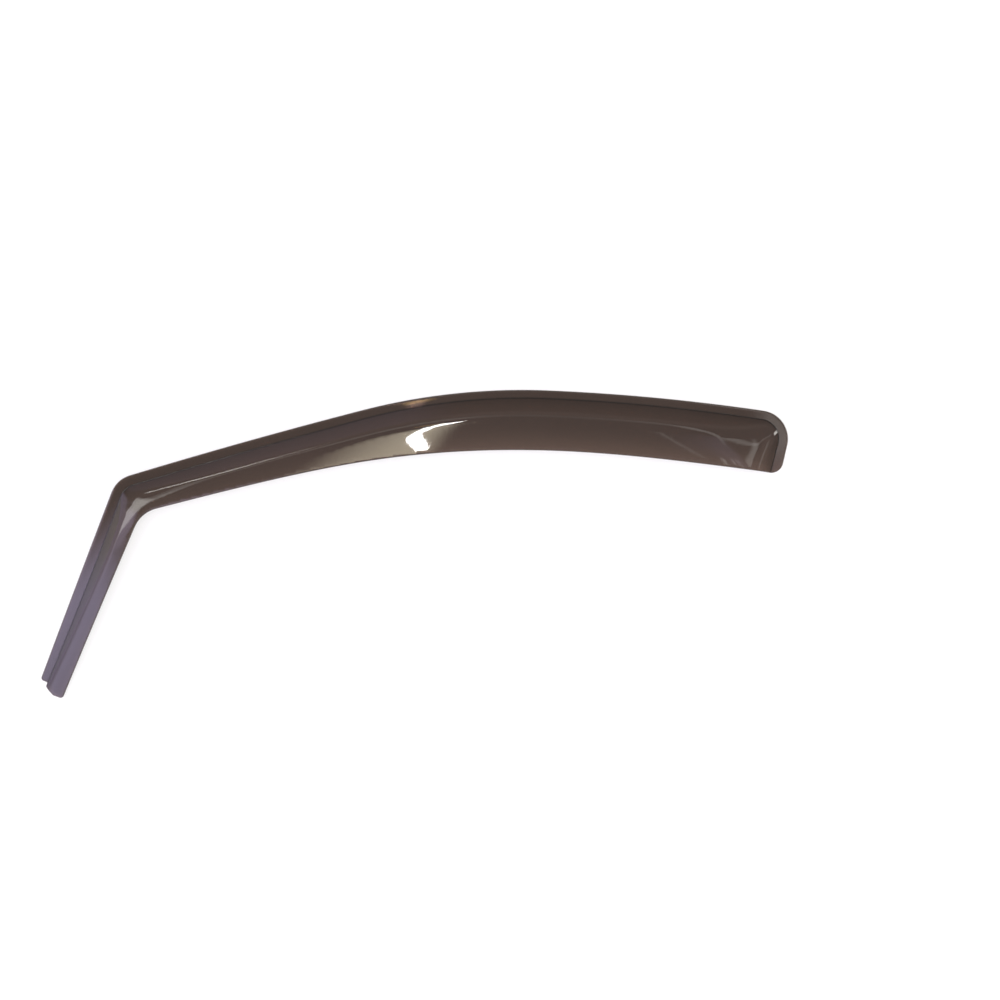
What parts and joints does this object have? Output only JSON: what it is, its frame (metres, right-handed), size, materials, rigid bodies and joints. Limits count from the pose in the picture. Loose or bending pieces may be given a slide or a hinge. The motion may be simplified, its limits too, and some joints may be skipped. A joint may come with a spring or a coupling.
{
  "type": "window rain deflector",
  "caption": "L-shaped smoked acrylic wind and rain deflector for a car's front side window: raised shield on a bar and a pillar leg, with a flat flange along its outer edge.",
  "frame": {"origin": "centre of the bounding box in plan, at its lowest point, with the part lying glass side down", "axes": "+X along the bar from the pillar leg to the rear end, +Y from the window opening to the roof edge, +Z outward from the glass"},
  "size_m": [0.747, 0.308, 0.0175],
  "materials": {
    "smoked_acrylic": "polished smoked brown acrylic, slightly see-through"
  },
  "bodies": {
    "root": {"deflector": "smoked_acrylic"}
  },
  "joints": []
}
